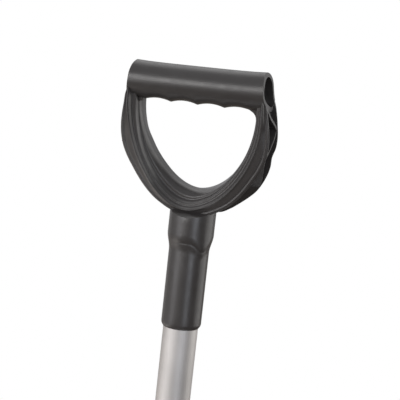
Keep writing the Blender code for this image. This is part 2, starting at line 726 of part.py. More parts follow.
def add_handle_fasteners(halves, look):
    """Two bolts through each blade, yoke and tube, and two rivets through each blade and yoke."""
    saddle_rise = 0.0045
    inner_face = TUBE_X - TUBE_RADIUS
    saddle_seat = inner_face + 0.0015
    nut_seat = saddle_seat - saddle_rise - GAP
    head_seat = BLADE_RADIUS + GAP
    nut_height = 0.0078
    bolt = bolt_mesh(BOLT_RADIUS, head_seat - nut_seat + nut_height + 0.002, 0.013, 0.0053)
    nut = nut_mesh(BOLT_RADIUS, 0.013, nut_height, 0.0015)
    saddle, rivet = saddle_mesh(), rivet_mesh()
    for name, side in SIDES:
        for row, height in BOLT_HEIGHTS.items():
            out, inward = (side, 0, 0), (-side, 0, 0)
            half = halves[name]
            place(f"handle_bolt_{row}_{name}", bolt, half, look, facing(out, (side * head_seat, 0, height)))
            place(f"handle_nut_{row}_{name}", nut, half, look, facing(inward, (side * nut_seat, 0, height)))
            seat = facing(inward, (side * saddle_seat, 0, height))
            place(f"saddle_washer_{row}_{name}", saddle, half, look, seat)
        for edge_name, edge in (("front", -1), ("rear", 1)):
            head = rivet_line(side, edge, BLADE_RADIUS + GAP)
            outward = rivet_line(side, edge, 1.0) - rivet_line(side, edge, 0.0)
            place(f"blade_rivet_{edge_name}_{name}", rivet, halves[name], look, facing(outward, head))


def add_pivot(halves, steel, bronze, nylon):
    """A bolt, a nut, washers and a bush at the front pivot and at the rear one."""
    outer_face = OUTER_ARM_Y + YOKE_THICKNESS / 2
    between_arms = OUTER_ARM_Y - YOKE_THICKNESS / 2
    inner_top = INNER_ARM_Y + YOKE_THICKNESS / 2
    inner_face = INNER_ARM_Y - YOKE_THICKNESS / 2
    washer, spacer = 0.0018, between_arms - inner_top - 2 * GAP
    head_seat = outer_face + GAP + washer + GAP
    nut_seat = inner_face - GAP - washer - GAP
    nut_height = 0.0100
    bolt = bolt_mesh(PIVOT_RADIUS, head_seat - nut_seat + nut_height + 0.002, 0.016, 0.0064)
    nut = nut_mesh(PIVOT_RADIUS, 0.016, nut_height, 0.0020)
    flat = washer_mesh(PIVOT_RADIUS + GAP, 0.0105, washer)
    friction = washer_mesh(PIVOT_RADIUS + GAP, 0.0130, spacer)
    bush = washer_mesh(PIVOT_RADIUS + GAP, BUSH_RADIUS, YOKE_THICKNESS)
    stop = stop_pin_mesh(INNER_ARM_Y - YOKE_THICKNESS / 2)
    stop_z = ARM_HALF_HEIGHT + GAP + STOP_RADIUS
    left, right = halves["left"], halves["right"]
    for name, end in (("front", -1), ("rear", 1)):
        out, inward = (0, end, 0), (0, -end, 0)
        place("pivot_bolt_" + name, bolt, left, steel, facing(out, (0, end * head_seat, 0)))
        place("pivot_nut_" + name, nut, left, steel, facing(inward, (0, end * nut_seat, 0)))
        place("pivot_washer_outer_" + name, flat, left, steel, facing(out, (0, end * (outer_face + GAP), 0)))
        place("pivot_washer_inner_" + name, flat, left, steel,
              facing(out, (0, end * (nut_seat + GAP), 0)))
        place("friction_washer_" + name, friction, left, nylon, facing(out, (0, end * (inner_top + GAP), 0)))
        place("pivot_bush_" + name, bush, right, bronze, facing(out, (0, end * inner_face, 0)))
        place("stop_pin_" + name, stop, left, steel, facing(out, (STOP_X, end * outer_face, stop_z)))


def main():
    grip_look = material("slate_plastic", SLATE, 0.42)
    tube_look = material("satin_aluminium", SATIN_ALUMINIUM, 0.35, 1.0)
    blade_look = material("painted_blade", BLADE_PAINT, 0.5)
    yoke_look = material("painted_yoke", BLADE_PAINT, 0.5)
    steel_look = material("zinc_plated_steel", ZINC, 0.35, 1.0)
    bronze_look = material("bronze_bush", (0.50, 0.33, 0.15), 0.35, 1.0)
    nylon_look = material("nylon_washer", (0.70, 0.68, 0.62), 0.5)
    plug_look = material("black_plug", BLACK_PLASTIC, 0.5)
    halves = {name: pivot_empty(name + "_half") for name, _ in SIDES}
    add_grips(halves, grip_look, steel_look)
    add_tubes(halves, tube_look, plug_look)
    add_blades_and_yokes(halves, blade_look, yoke_look)
    add_handle_fasteners(halves, steel_look)
    add_pivot(halves, steel_look, bronze_look, nylon_look)


SIDES = (("right", 1), ("left", -1))
clear_scene()
PARTS = collection("post_hole_digger")
WORK = collection("cutters")
main()
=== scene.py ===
"""The looks of a two-handled clamshell post hole digger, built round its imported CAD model.

Metres, +Z up. X is the direction in which the handles spread and the user stands at -Y.
The two moulded grips and the two tubes are rebuilt finer than the CAD solids that they
stand for. Every other piece keeps its CAD shape and gets its material here.
"""

import json
import math

import bmesh
import bpy
import numpy as np
from mathutils import Matrix, Vector


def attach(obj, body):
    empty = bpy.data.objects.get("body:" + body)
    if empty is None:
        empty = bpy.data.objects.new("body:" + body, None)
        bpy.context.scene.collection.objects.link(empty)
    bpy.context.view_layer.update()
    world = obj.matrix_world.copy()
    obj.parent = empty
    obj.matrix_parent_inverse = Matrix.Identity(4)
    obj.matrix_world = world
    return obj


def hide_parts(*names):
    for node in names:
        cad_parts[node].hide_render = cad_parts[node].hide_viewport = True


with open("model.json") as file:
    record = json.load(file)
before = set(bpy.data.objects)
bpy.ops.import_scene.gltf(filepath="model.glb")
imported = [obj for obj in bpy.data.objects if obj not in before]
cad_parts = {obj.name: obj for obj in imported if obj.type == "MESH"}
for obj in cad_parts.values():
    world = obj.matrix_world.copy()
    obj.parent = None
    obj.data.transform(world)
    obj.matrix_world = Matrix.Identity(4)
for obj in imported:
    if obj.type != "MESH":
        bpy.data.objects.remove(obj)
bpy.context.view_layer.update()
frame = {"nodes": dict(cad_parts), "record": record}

SIDES = (("right", 1), ("left", -1))

# ---- the CAD model's dimensions, metres and radians ----
GAP = 0.0003                    # clearance left between pieces that touch
PIVOT_HEIGHT = 0.300            # hinge axis above the blades' noses
TUBE_RADIUS = 0.015
TUBE_WALL = 0.0015
TUBE_X = 0.0569                 # the tubes' straight feet stand this far from the middle
TUBE_BOTTOM = -0.045            # the tubes' heights are measured from the hinge axis
BEND_START = 0.045
BEND_RADIUS = 0.150
HANDLE_LEAN = math.radians(6.56)
MOUTH_HEIGHT = 0.774            # the grip's mouth
TUBE_IN_GRIP = 0.090

# grip, in its own frame: origin at the socket's mouth, +Z up the tube, +X along the bar
SCREW_RADIUS = 0.002
SCREW_HEIGHT = 0.036
BELL_RADIUS = 0.0196
SOCKET_TOP = 0.101
LOOP_HEIGHT = 0.108             # where the loop's plane crosses the tube's axis
LOOP_TILT = math.radians(11.5)  # the loop tips forward from the tube
BAR_CENTRE = 0.099              # heights from here on are measured in the loop's plane
BAR_HALF_HEIGHT = 0.016
BAR_HALF_DEPTH = 0.015
BAR_HALF_LENGTH = 0.060
BAR_WAIST = 0.0010              # the bar's top is this much lower at its middle
UNDERSIDE_SHIFT = 0.0055        # the bar's lowest line lies this far back at its ends
BORE_HALF_HEIGHT = 0.0125
BORE_HALF_DEPTH = 0.0118
FINGER_PITCH = 0.023
FINGER_DEPTH = 0.0020
OPENING_HALF_WIDTH = 0.0485
OPENING_SPRING = 0.080          # the opening's arms turn into its bowl at this height
OPENING_DROP = 0.0694
OPENING_POWER = 1.84            # 2 would make the bowl a half ellipse
FRONT_FACE = -0.0104            # the channel runs from this depth to the back one
BACK_FACE = 0.0108
RIB_THICKNESS = 0.0020
RIB_RUN_ON = 0.04               # share of its length by which a rib sinks into each flange

# ---- details of the grip's skin, in the same frame ----
SUNK = 0.0012                   # solids that are joined run this far into each other
TREAD = 0.60                    # share of a step's width that faces forward
REAR_FACE = 0.0135              # depth of the loop's rear face
CREST_WIDTH = 0.0017
CREST_DROP = 0.0012             # from the crest to the front flange at its foot
BEAD_WIDTH = 0.0044             # the bead runs along the front flange's edge
BEAD = ((1.00, -0.0121, 0.0010), (0.75, -0.0115, 0.0005),       # share of its width from the
        (0.55, -0.0122, 0.0006), (0.18, -0.0118, 0.0008))       # edge, depth, corner radius
UNDERSIDE_SHIFT_START = 0.040   # distances from the bar's middle between which its underside
UNDERSIDE_SHIFT_END = 0.056     # shifts back
BORE_END = 0.080                # clear of the bar's ends
END_SHIFTS = ((-0.03, -0.0006), (0.03, 0.0014))     # depth, and how far out it moves the bar's end
TRIM_TOP, TRIM_SIDE = 0.130, 0.090                  # both clear of the bar
RIB_INSET = 0.0005              # a rib's edge lies this far inside the flanges' edges
RIB_NODES = ((95, FRONT_FACE), (80.5, BACK_FACE), (67, FRONT_FACE), (48.5, BACK_FACE))
SCREW_HOLE = (0.010, 0.030)     # from inside the bore to outside the sleeve

# The fillets between the bar's underside and the arms, which fade towards the back.
FILLET_RADIUS = {1: 0.0066, -1: 0.0022}
FILLET_LEAST = 0.0003
FILLET_FRONT = -0.0042
FILLET_RUN = 0.0170
FILLET_BITE = 0.0001            # how far its round face starts inside the bar and the arm
ARM_FACE_DEPTHS = (FILLET_FRONT, 0.0010, BACK_FACE)
ARM_FACE_REACHES = (0.0014, 0.0008, 0.0016)         # out from the opening's edge

# Angles round the socket are measured from the front, towards +X.
SLEEVE_RADIUS = 0.0171          # 0.5 mm slimmer than the CAD model's
SLEEVE_MOUTH = ((0.0, 0.0017), (0.0007, 0.0012), (0.0015, 0.0007), (0.0025, 0.0002))    # height, inset
SHOULDER_MIDDLE = 0.0735
SHOULDER_HALF = 0.0075          # half the height over which the sleeve widens to the bell
FOLD_ANGLE, FOLD_WIDTH = math.radians(54), math.radians(20)
FOLD_DROP = 0.0068              # the shoulder hangs this much lower there
CREASE_ANGLE, CREASE_WIDTH = math.radians(28), math.radians(42)
CREASE_DEPTH, CREASE_HEIGHT = 0.0005, 0.0010
CREASE_RISE = 0.0008            # from the shoulder's middle
BELL_BEND_START = 0.083         # above this height the bell's rim is bent to meet the bowl:
BELL_LIFT = 0.0030              # up at its sides
BELL_DIP = 0.0038               # and down in front


# ---- mesh helpers ----
EDGE_SHARE = 0.48               # a rounded corner takes at most this share of each edge


def add_object(name, data):
    item = bpy.data.objects.new(name, data)
    bpy.context.scene.collection.objects.link(item)
    return item


def from_bmesh(name, bm):
    """A work object of the mesh, with its faces turned outwards."""
    bmesh.ops.recalc_face_normals(bm, faces=bm.faces)
    mesh = bpy.data.meshes.new(name)
    bm.to_mesh(mesh)
    bm.free()
    return add_object(name, mesh)


def baked(item):
    """The evaluated mesh of a work object, which is then removed."""
    bpy.context.view_layer.update()
    graph = bpy.context.evaluated_depsgraph_get()
    mesh = bpy.data.meshes.new_from_object(item.evaluated_get(graph))
    mesh.transform(item.matrix_world)
    bpy.data.objects.remove(item, do_unlink=True)
    return mesh


def boolean(base, others, operation):
    """The base joined with, or cut by, each of the other work objects in turn."""
    for other in others:
        modifier = base.modifiers.new(operation.lower(), "BOOLEAN")
        modifier.operation = operation
        modifier.solver = "EXACT"
        modifier.object = other
        base = add_object(base.name, baked(base))
        bpy.data.objects.remove(other, do_unlink=True)
    return base


def join_rings(bm, rings):
    """Faces from each ring of vertices to the next one."""
    for one, two in zip(rings, rings[1:]):
        for i in range(len(one)):
            j = (i + 1) % len(one)
            bm.faces.new((one[i], one[j], two[j], two[i]))


def capped(name, bm, rings):
    """A closed solid through rings of vertices."""
    join_rings(bm, rings)
    bm.faces.new(reversed(rings[0]))
    bm.faces.new(rings[-1])
    return from_bmesh(name, bm)


def loft(name, sections):
    """A closed solid through rings of points, all with the same number of points."""
    bm = bmesh.new()
    return capped(name, bm, [[bm.verts.new(point) for point in section] for section in sections])


def rod(start, end, radius, sides=32):
    """A solid cylinder between two points."""
    start = Vector(start)
    along = Vector(end) - start
    turn = along.to_track_quat("Z", "Y").to_matrix().to_4x4()
    bm = bmesh.new()
    bmesh.ops.create_cone(bm, cap_ends=True, segments=sides, radius1=radius, radius2=radius,
                          depth=along.length, matrix=Matrix.Translation(start + along / 2) @ turn)
    return from_bmesh("rod", bm)


def smooth_step(value, start, end):
    """0 up to the start, 1 from the end, and a smooth rise between them."""
    t = min(1.0, max(0.0, (value - start) / (end - start)))
    return t * t * (3 - 2 * t)


def curve_through(knots):
    """A smooth function through (position, value) knots, where a value may be a tuple."""
    places = np.array([k[0] for k in knots], float)
    values = np.array([k[1] for k in knots], float)
    slopes = np.gradient(values, places, axis=0)

    def at(place):
        i = int(np.clip(np.searchsorted(places, place) - 1, 0, len(places) - 2))
        span = places[i + 1] - places[i]
        t = min(1.0, max(0.0, (place - places[i]) / span))
        a, b = values[i], values[i + 1]
        ta, tb = slopes[i] * span, slopes[i + 1] * span
        return (a * (2 * t**3 - 3 * t**2 + 1) + ta * (t**3 - 2 * t**2 + t)
                + b * (3 * t**2 - 2 * t**3) + tb * (t**3 - t**2))

    return at


def rounded(corners, steps=4):
    """A closed ring of (point, radius) corners, with each corner turned into a short curve."""
    ring = []
    count = len(corners)
    for i, (point, radius) in enumerate(corners):
        before = corners[i - 1][0] - point
        after = corners[(i + 1) % count][0] - point
        one = point + before.normalized() * min(radius, before.length * EDGE_SHARE)
        two = point + after.normalized() * min(radius, after.length * EDGE_SHARE)
        for j in range(steps + 1):
            t = j / steps
            ring.append(one * (1 - t) ** 2 + point * 2 * t * (1 - t) + two * t ** 2)
    return ring


# ---- the loop of the moulded grip ----
def loop_point(x, back, up):
    """A point of the tilted loop, in the grip's frame."""
    lean, rise = math.sin(LOOP_TILT), math.cos(LOOP_TILT)
    return Vector((x, back * rise - up * lean, LOOP_HEIGHT + back * lean + up * rise))


# The loop's outer edges from the bowl's bottom (0 degrees) to the arms' top (90 degrees) and
# up to the middle of the bar (100): half width and height of the front edge and the back one.
OUTER_KNOTS = (
    (0, (0, -0.0095, 0, -0.0104)),
    (8, (0.0090, -0.0086, 0.0105, -0.0104)),
    (15, (0.0172, -0.0065, 0.0205, -0.0098)),
    (22, (0.0252, -0.0025, 0.0284, -0.0057)),
    (30, (0.0334, 0.0030, 0.0364, 0.0001)),
    (37, (0.0404, 0.0098, 0.0442, 0.0066)),
    (45, (0.0469, 0.0179, 0.0515, 0.0143)),
    (52, (0.0527, 0.0268, 0.0570, 0.0240)),
    (60, (0.0584, 0.0366, 0.0608, 0.0355)),
    (65, (0.0614, 0.0440, 0.0616, 0.0435)),
    (70, (0.0632, 0.0520, 0.0641, 0.0510)),
    (76, (0.0638, 0.0610, 0.0651, 0.0600)),
    (83, (0.0631, 0.0710, 0.0643, 0.0710)),
    (90, (0.0617, 0.0800, 0.0630, 0.0800)),
    (95, (0.0602, 0.0900, 0.0611, 0.0900)),
    (100, (0.0580, 0.0990, 0.0584, 0.0990)),
)
# Two mirrored stations come first, so that the edges cross the bowl's bottom level.
outer_edges = curve_through([(-a, (-x, z, -bx, bz)) for a, (x, z, bx, bz) in OUTER_KNOTS[2:0:-1]]
                            + list(OUTER_KNOTS))
# How far out from the opening's edge the steps lie; a negative angle is on the arm at -X.
lip_reach = curve_through(((-100, 0.0012), (10, 0.0012), (28, 0.0021), (45, 0.0013), (60, 0.0011),
                           (85, 0.0004), (100, 0.0004)))
inner_edge_reach = curve_through(((-100, 0.0018), (-65, 0.0027), (-47, 0.0037), (-30, 0.0050),
                                  (-19, 0.0058), (-8, 0.0062), (2, 0.0055), (12, 0.0044), (24, 0.0032),
                                  (45, 0.0024), (65, 0.0020), (100, 0.0014)))
middle_edge_reach = curve_through(((-100, 0.0030), (-80, 0.0038), (-60, 0.0061), (-48, 0.0075),
                                   (-30, 0.0098), (-14, 0.0114), (-5, 0.0110), (4, 0.0096),
                                   (14, 0.0079), (24, 0.0063), (35, 0.0050), (47, 0.0040),
                                   (65, 0.0033), (100, 0.0027)))
ridge_reach = curve_through(((-100, 0.0078), (-70, 0.0088), (-45, 0.0110), (-25, 0.0140), (-12, 0.0151),
                             (-3, 0.0146), (6, 0.0132), (14, 0.0121), (23, 0.0111), (33, 0.0101),
                             (43, 0.0095), (60, 0.0089), (75, 0.0086), (100, 0.0078)))
# The crest's rounding, by the same angle.
crest_radius = curve_through(((-100, 0.0022), (-50, 0.0020), (-25, 0.0014), (0, 0.0017), (100, 0.0018)))
# The crest's depth, the channel floor's reach and the rear rim's are the same on both arms.
crest_depth = curve_through(((0, 0.0139), (60, 0.0139), (80, 0.0144), (92, 0.0152), (100, 0.0146)))
floor_reach = curve_through(((0, 0.0145), (40, 0.0112), (100, 0.0085)))
back_edge_reach = curve_through(((0, 0.0018), (20, 0.0015), (40, 0.0013), (52, 0.0019), (60, 0.0023),
                                 (68, 0.0032), (76, 0.0030), (84, 0.0025), (92, 0.0020),
                                 (100, 0.0016)))
# How far out the bar's end lies, by height in the loop's plane.
BAR_END_KNOTS = ((0.060, 0.0665), (0.074, 0.0638), (0.086, 0.0608), (0.092, 0.0588), (0.100, 0.0574),
                 (0.1050, 0.0570), (0.1090, 0.0565), (0.1120, 0.0559), (0.1140, 0.0552),
                 (0.1152, 0.0545))
bar_end = curve_through(BAR_END_KNOTS)


def opening(angle):
    """The opening's outline at an angle from its bottom."""
    if angle > 90:
        rise = (BAR_CENTRE - OPENING_SPRING) * (angle - 90) / 10
        return Vector((OPENING_HALF_WIDTH, OPENING_SPRING + rise))
    turn = math.radians(angle)
    across = math.sin(turn) ** (2 / OPENING_POWER)
    down = max(0.0, math.cos(turn)) ** (2 / OPENING_POWER)
    return Vector((OPENING_HALF_WIDTH * across, OPENING_SPRING - OPENING_DROP * down))


def loop_frame(angle):
    """The opening's edge at an angle, the ways to the front and back flanges' edges, and these."""
    inner = opening(angle)
    edges = outer_edges(angle)
    front, back = Vector(edges[:2]) - inner, Vector(edges[2:]) - inner
    return inner, front.normalized(), back.normalized(), front, back


def loop_section(side, angle):
    """A ring of points across one arm or the bowl, from the rear rim forward and back again."""
    inner, to_front, to_back, front, back = loop_frame(angle)
    edge, near, middle, ridge, crest = (float(curve(side * angle)) for curve in
                                        (lip_reach, inner_edge_reach, middle_edge_reach, ridge_reach,
                                         crest_radius))
    proud, floor, behind = (float(curve(angle)) for curve in (crest_depth, floor_reach, back_edge_reach))
    plate = front.length - ridge
    bead = min(BEAD_WIDTH, plate * 0.50)
    first_foot, second_foot = near + TREAD * (middle - near), middle + TREAD * (ridge - middle)
    # Each corner is its way from the opening's edge, its depth and its radius.
    rear_rim = (
        (to_back * (behind + 0.0016), REAR_FACE, 0.0010), (to_back * behind, REAR_FACE - 0.0009, 0.0012),
    )
    steps = (
        (to_front * edge, 0.0010, 0.0050),
        (to_front * near, -0.0040, 0.0012), (to_front * first_foot, -0.0038, 0.0016),
        (to_front * middle, -0.0095, 0.0014), (to_front * second_foot, -0.0092, 0.0016),
        (to_front * ridge, -proud, crest),
        (to_front * (ridge + min(CREST_WIDTH, plate * 0.30)), CREST_DROP - proud, 0.0009),
    )
    front_flange = tuple((front - to_front * bead * share, depth, radius) for share, depth, radius in BEAD)
    channel = (
        (front, -0.0110, 0.0006), (front, FRONT_FACE, 0.0003),
        (to_front * floor, FRONT_FACE + 0.0004, 0.0012), (to_back * floor, BACK_FACE - 0.0004, 0.0012),
        (back, BACK_FACE, 0.0003),
    )
    rear_flange = ((back, 0.0125, 0.0008), (back - to_back * 0.0010, REAR_FACE, 0.0008))
    ring = []
    for out, depth, radius in rear_rim + steps + front_flange + channel + rear_flange:
        at = inner + out
        ring.append((loop_point(side * at.x, depth, at.y), radius))
    return rounded(ring)


def loop_mesh(step):
    """The loop below the bar, with a section every so many degrees."""
    angles = [100 - step * i for i in range(int(100 / step))]
    sections = [loop_section(-1, a) for a in angles] + [loop_section(1, 0.0)]
    sections += [loop_section(1, a) for a in reversed(angles)]
    return loft("loop", sections)


def finger_groove(x):
    """How far the bar's underside is hollowed at a distance from its middle."""
    if abs(x) >= 2 * FINGER_PITCH:
        return 0.0
    across = (abs(x) / FINGER_PITCH) % 1.0
    return FINGER_DEPTH * (1 - (2 * across - 1) ** 2)


def bar_ring(x, half_depth, half_height, lift, sides):
    """An oval section, a little waisted along the top, whose underside leans back at the bar's ends."""
    ring = []
    lean = UNDERSIDE_SHIFT * smooth_step(abs(x), UNDERSIDE_SHIFT_START, UNDERSIDE_SHIFT_END)
    sag = BAR_WAIST * max(0.0, 1 - (x / BAR_HALF_LENGTH) ** 4)
    for i in range(sides):
        turn = 2 * math.pi * i / sides
        across, up = math.sin(turn), math.cos(turn)
        below = max(0.0, -up)
        ring.append(loop_point(x, half_depth * across + lean * below * below,
                               BAR_CENTRE + half_height * up + lift * below - sag * max(0.0, up)))
    return ring


def bar_solid(stations, sides):
    return loft("bar", [bar_ring(x, BAR_HALF_DEPTH, BAR_HALF_HEIGHT, finger_groove(x), sides)
                        for x in stations])


def bore_solid(sides):
    ends = [UNDERSIDE_SHIFT_START + 0.004 * i for i in range(5)] + [BORE_END]
    stations = [-x for x in reversed(ends)] + ends
    return loft("bore", [bar_ring(x, BORE_HALF_DEPTH, BORE_HALF_HEIGHT, 0.0, sides) for x in stations])


def corner_fillet(side, sections=24, steps=12):
    """Rounds the corner between the bar's underside and an arm, more in front than behind."""
    rings = []
    for i in range(sections + 1):
        share = i / sections
        depth = FILLET_FRONT + FILLET_RUN * share
        radius = FILLET_LEAST + FILLET_RADIUS[side] * (1 - smooth_step(share, 0.20, 0.90))
        wall = OPENING_HALF_WIDTH + float(np.interp(depth, ARM_FACE_DEPTHS, ARM_FACE_REACHES))
        below = math.sqrt(1 - (depth / BAR_HALF_DEPTH) ** 2)

        def under(x):
            return BAR_CENTRE - (BAR_HALF_HEIGHT - finger_groove(x)) * below + FILLET_BITE

        outline = [(wall + SUNK, under(wall) + SUNK), (wall + SUNK, under(wall) - radius)]
        for j in range(steps + 1):
            turn = math.pi / 2 * j / steps
            x = wall - radius + radius * math.cos(turn) + FILLET_BITE
            outline.append((x, under(x) - radius + radius * math.sin(turn)))
        outline.append((wall - radius, under(wall - radius) + SUNK))
        rings.append([loop_point(side * x, depth, up) for x, up in outline])
    return loft("fillet", rings)


def end_trimmer(side, steps=48):
    """What is cut off past the bar's end, down to the arm's shoulder."""
    low, high = BAR_END_KNOTS[0][0], BAR_END_KNOTS[-1][0]
    heights = [low + (high - low) * i / steps for i in range(steps + 1)]
    outline = [(float(bar_end(up)), up) for up in heights]
    outline += [(BAR_END_KNOTS[-1][1] - 0.0002, TRIM_TOP), (TRIM_SIDE, TRIM_TOP), (TRIM_SIDE, low)]
    rings = [[loop_point(side * (x + shift), depth, up) for x, up in outline] for depth, shift in END_SHIFTS]
    return loft("trim", rings)


def outer_point(angle, depth):
    """The middle surface over the channel's mouth, between the edges of its two flanges."""
    inner, _, _, front, back = loop_frame(angle)
    share = (depth - FRONT_FACE) / (BACK_FACE - FRONT_FACE)
    return inner + front * (1 - share) + back * share


def floor_x(up, depth):
    """How far out the channel's floor lies at a height in the loop's plane."""
    share = (depth - FRONT_FACE) / (BACK_FACE - FRONT_FACE)
    places = []
    for angle in range(5, 101):
        inner, to_front, to_back, _, _ = loop_frame(angle)
        at = inner + (to_front * (1 - share) + to_back * share) * float(floor_reach(angle))
        places.append((at.y, at.x))
    ups, xs = zip(*places)
    return float(np.interp(up, ups, xs))


def rib_solid(side, near, far, steps=12):
    """A web from one flange to the other; it runs straight in from the channel's mouth."""
    path = []
    for i in range(steps + 1):
        share = (i / steps) * (1 + 2 * RIB_RUN_ON) - RIB_RUN_ON
        depth = near[1] + (far[1] - near[1]) * share
        angle = near[0] + (far[0] - near[0]) * share
        out = outer_point(angle, depth)
        path.append((out.x - RIB_INSET, floor_x(out.y, depth) - SUNK, depth, out.y))
    rings = []
    for i, (outer, inner, depth, up) in enumerate(path):
        one, two = path[max(i - 1, 0)], path[min(i + 1, steps)]
        along = Vector((two[2] - one[2], two[3] - one[3])).normalized() * RIB_THICKNESS / 2
        rings.append([loop_point(side * x, depth + way * along.y, up - way * along.x)
                      for x, way in ((inner, -1), (outer, -1), (outer, 1), (inner, 1))])
    return loft("rib", rings)


# ---- the socket of the moulded grip ----
def socket_radius(angle, height):
    """The skin: a sleeve below, a wider bell above, and a crease where the bell's fold ends in front."""
    turn = (angle + math.pi) % (2 * math.pi) - math.pi
    middle = SHOULDER_MIDDLE - FOLD_DROP * math.exp(-((turn - FOLD_ANGLE) / FOLD_WIDTH) ** 2)
    widening = smooth_step(height, middle - SHOULDER_HALF, middle + SHOULDER_HALF)
    radius = SLEEVE_RADIUS + (BELL_RADIUS - SLEEVE_RADIUS) * widening
    crease = CREASE_DEPTH * math.exp(-((height - middle - CREASE_RISE) / CREASE_HEIGHT) ** 2)
    return radius - crease * math.exp(-((turn - CREASE_ANGLE) / CREASE_WIDTH) ** 4)


def bell_bend(angle):
    """How far the bell's rim is bent up at an angle, to meet the bowl."""
    return BELL_LIFT * math.sin(angle) ** 4 - BELL_DIP * max(0.0, math.cos(angle)) ** 2


def socket_solid(around):
    """The sleeve, its folded shoulder and the bell, with the bore for the tube."""
    bm = bmesh.new()
    rings = []

    def ring(radius_at, height, bent=True):
        share = smooth_step(height, BELL_BEND_START, SOCKET_TOP) if bent else 0.0
        made = []
        for i in range(around):
            angle = 2 * math.pi * i / around
            radius = radius_at(angle)
            made.append(bm.verts.new((radius * math.sin(angle), -radius * math.cos(angle),
                                      height + bell_bend(angle) * share)))
        rings.append(made)

    bore = TUBE_RADIUS + GAP
    ring(lambda angle: bore, TUBE_IN_GRIP + GAP, bent=False)
    ring(lambda angle: bore, 0.0)
    for height, inset in SLEEVE_MOUTH:
        ring(lambda angle: SLEEVE_RADIUS - inset, height)
    low, high = 0.0040, SOCKET_TOP - 0.0040
    coarse = [low + (high - low) * i / 24 for i in range(25)]
    at_shoulder = [0.0600 + 0.0006 * i for i in range(37)]
    for height in sorted(coarse + at_shoulder):
        ring(lambda angle: socket_radius(angle, height), height)
    ring(lambda angle: BELL_RADIUS - 0.0002, SOCKET_TOP - 0.0015)
    ring(lambda angle: BELL_RADIUS - 0.0040, SOCKET_TOP)
    return capped("socket", bm, rings)


def grip_mesh():
    """The whole grip as one moulded skin."""
    step = 1.0
    stations = [-BAR_HALF_LENGTH]
    stations += [FINGER_PITCH * i / 12 for i in range(-24, 25)] + [BAR_HALF_LENGTH]
    ribs = [rib_solid(side, a, b) for side in (-1, 1) for a, b in zip(RIB_NODES, RIB_NODES[1:])]
    fillets = [corner_fillet(side) for side in (-1, 1)]
    body = boolean(loop_mesh(step), [socket_solid(around=96), bar_solid(stations, sides=80)] + fillets + ribs,
                   "UNION")
    inside, outside = ((0, y, SCREW_HEIGHT) for y in SCREW_HOLE)
    screw_hole = rod(inside, outside, SCREW_RADIUS + GAP)
    cuts = [bore_solid(sides=64), end_trimmer(-1), end_trimmer(1), screw_hole]
    return baked(boolean(body, cuts, "DIFFERENCE"))


# ---- the handle's line ----
def lean_direction(side):
    """The way up a leaning handle."""
    return Vector((side * math.sin(HANDLE_LEAN), 0, math.cos(HANDLE_LEAN)))


def bend_point(side, turn):
    """A point on the tube's bend, by how far it has turned, from the hinge axis."""
    return Vector((side * (TUBE_X + BEND_RADIUS * (1 - math.cos(turn))), 0,
                   BEND_START + BEND_RADIUS * math.sin(turn)))


def mouth_point(side):
    """The middle of the grip's mouth, from the hinge axis."""
    start, along = bend_point(side, HANDLE_LEAN), lean_direction(side)
    return start + along * ((MOUTH_HEIGHT - start.z) / along.z)


def grip_frame(side):
    """The grip's frame in the model: at the mouth, leaning out with the tube."""
    mouth = mouth_point(side) + Vector((0, 0, PIVOT_HEIGHT))
    return Matrix.Translation(mouth) @ Matrix.Rotation(side * HANDLE_LEAN, 4, "Y")


# ---- tube ----
TUBE_EASE = 0.0003              # the tubes' cut edges are broken by this much


def tube_line(side, steps=12):
    """The tube's middle line, from its foot to its end in the grip."""
    mouth = mouth_point(side)
    points = [Vector((side * TUBE_X, 0, TUBE_BOTTOM))]
    points += [bend_point(side, HANDLE_LEAN * i / steps) for i in range(steps + 1)]
    points += [mouth, mouth + lean_direction(side) * TUBE_IN_GRIP]
    return [point + Vector((0, 0, PIVOT_HEIGHT)) for point in points]


def tube_mesh(side, around=72):
    """A round tube with a real wall and eased edges at its ends."""
    points = tube_line(side)
    last = len(points) - 1
    across = Vector((0, 1, 0))
    bm = bmesh.new()

    def ring(index, radius, shift=0.0):
        along = (points[min(index + 1, last)] - points[max(index - 1, 0)]).normalized()
        third = along.cross(across)
        centre = points[index] + along * shift
        turns = [2 * math.pi * i / around for i in range(around)]
        return [bm.verts.new(centre + (across * math.cos(turn) + third * math.sin(turn)) * radius)
                for turn in turns]

    rings = [ring(0, TUBE_RADIUS - TUBE_EASE), ring(0, TUBE_RADIUS, TUBE_EASE)]
    rings += [ring(index, TUBE_RADIUS) for index in range(1, last)]
    rings += [ring(last, TUBE_RADIUS, -TUBE_EASE), ring(last, TUBE_RADIUS - TUBE_EASE)]
    rings += [ring(index, TUBE_RADIUS - TUBE_WALL) for index in range(last, -1, -1)]
    join_rings(bm, rings + rings[:1])
    return from_bmesh("tube", bm)


# ---- materials ----
PLASTIC_GRAIN = 0.00003         # bump heights in metres
PAINT_PEEL = 0.00006
PAINT_THICKNESS = 0.00008


def new_material(name):
    made = bpy.data.materials.new(name)
    made.use_nodes = True
    return made, made.node_tree, made.node_tree.nodes["Principled BSDF"]


def node(tree, kind, **settings):
    """A new node; a setting with the name of an input gives that input its value."""
    made = tree.nodes.new(kind)
    for key, value in settings.items():
        if key in made.inputs:
            made.inputs[key].default_value = value
        else:
            setattr(made, key, value)
    return made


def multiply_add(tree, source, factor, addend):
    """The source times a number, plus a number or another node's output."""
    made = node(tree, "ShaderNodeMath", operation="MULTIPLY_ADD")
    tree.links.new(source, made.inputs[0])
    made.inputs[1].default_value = factor
    if isinstance(addend, float):
        made.inputs[2].default_value = addend
    else:
        tree.links.new(addend, made.inputs[2])
    return made.outputs["Value"]


